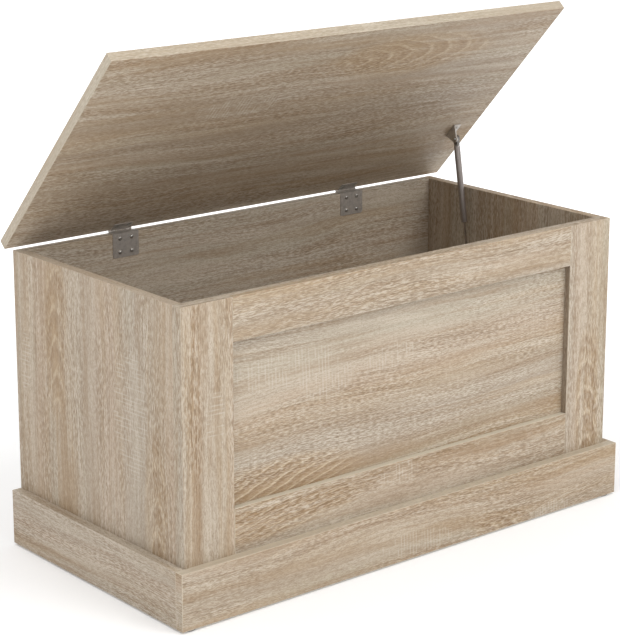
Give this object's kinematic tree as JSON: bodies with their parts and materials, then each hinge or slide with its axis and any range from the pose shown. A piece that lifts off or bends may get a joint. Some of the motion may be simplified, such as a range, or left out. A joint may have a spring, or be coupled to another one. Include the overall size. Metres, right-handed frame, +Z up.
{
  "type": "toy box",
  "caption": "Rectangular wooden storage chest on a plinth, with a framed front panel and a hinged lift-up lid held open by a gas strut.",
  "frame": {"origin": "on the floor under the centre of the plinth's footprint; the open lid reaches 9 mm further back than the plinth, so the box's own middle is 4.4 mm behind the origin", "axes": "+X to the right along the front, +Y to the back, +Z up; the framed front faces -Y"},
  "size_m": [0.84, 0.4289, 0.7619],
  "materials": {
    "oak_board": "matt light oak print with fine pores, edge banded",
    "pine_cleat": "planed, untreated",
    "beech_dowel": "fluted, untreated",
    "zinc_plated_steel": "bright zinc plating",
    "hinge_steel": "zinc-plated pressed sheet, satin",
    "strut_cylinder_steel": "light grey lacquer, semi-gloss",
    "strut_rod_chrome": "ground and plated",
    "strut_black_plastic": "moulded",
    "strut_socket_steel": "zinc-plated turned steel",
    "glide_plastic": "moulded, fine grain"
  },
  "bodies": {
    "chest": {"back_panel": "oak_board", "bottom_panel": "oak_board", "cam_bolts": "zinc_plated_steel", "cam_locks": "zinc_plated_steel", "cleat_screws": "zinc_plated_steel", "floor_glides": "glide_plastic", "front_bottom_rail": "oak_board", "front_cleat": "pine_cleat", "front_left_stile": "oak_board", "front_panel": "oak_board", "front_right_stile": "oak_board", "front_top_rail": "oak_board", "hinge_back_screws": "zinc_plated_steel", "left_cleat": "pine_cleat", "left_hinge_back_leaf": "hinge_steel", "left_hinge_pin": "hinge_steel", "left_side_panel": "oak_board", "plinth_front_board": "oak_board", "plinth_left_board": "oak_board", "plinth_right_board": "oak_board", "plinth_screws": "zinc_plated_steel", "rear_cleat": "pine_cleat", "right_cleat": "pine_cleat", "right_hinge_back_leaf": "hinge_steel", "right_hinge_pin": "hinge_steel", "right_side_panel": "oak_board", "strut_wall_ball_stud": "hinge_steel", "strut_wall_bracket": "hinge_steel", "strut_wall_bracket_screws": "zinc_plated_steel", "wood_dowels": "beech_dowel"},
    "lid_unit": {"lid": "oak_board", "left_hinge_lid_leaf": "hinge_steel", "right_hinge_lid_leaf": "hinge_steel", "hinge_lid_screws": "zinc_plated_steel", "strut_lid_bracket": "hinge_steel", "strut_lid_rivet": "hinge_steel", "strut_lid_bracket_screws": "zinc_plated_steel"},
    "strut_tube": {"strut_cylinder": "strut_cylinder_steel", "strut_rod_guide": "strut_black_plastic", "strut_upper_eye": "strut_socket_steel"},
    "strut_rod_unit": {"strut_rod": "strut_rod_chrome", "strut_piston": "strut_rod_chrome", "strut_lower_socket": "strut_socket_steel"}
  },
  "joints": [
    {"name": "lid_hinge", "type": "hinge", "parent": "chest", "child": "lid_unit", "pos_m": [0, 0.2096, 0.4473], "axis": [-1, 0, 0], "range_deg": [-47.4, 0]},
    {"name": "strut_swing", "type": "hinge", "parent": "lid_unit", "child": "strut_tube", "pos_m": [0.374, 0.1146, 0.52546], "axis": [-1, 0, 0], "range_deg": [0, 41.7]},
    {"name": "strut_slide", "type": "slide", "parent": "strut_tube", "child": "strut_rod_unit", "axis": [0, -0.1619, -0.9868], "range_m": [-0.0972, 0]}
  ],
  "couplings": [
    {"joint": "strut_swing", "follows": "lid_hinge", "ratio": -0.8774},
    {"joint": "strut_slide", "follows": "lid_hinge", "m_per_rad": 0.1173}
  ]
}
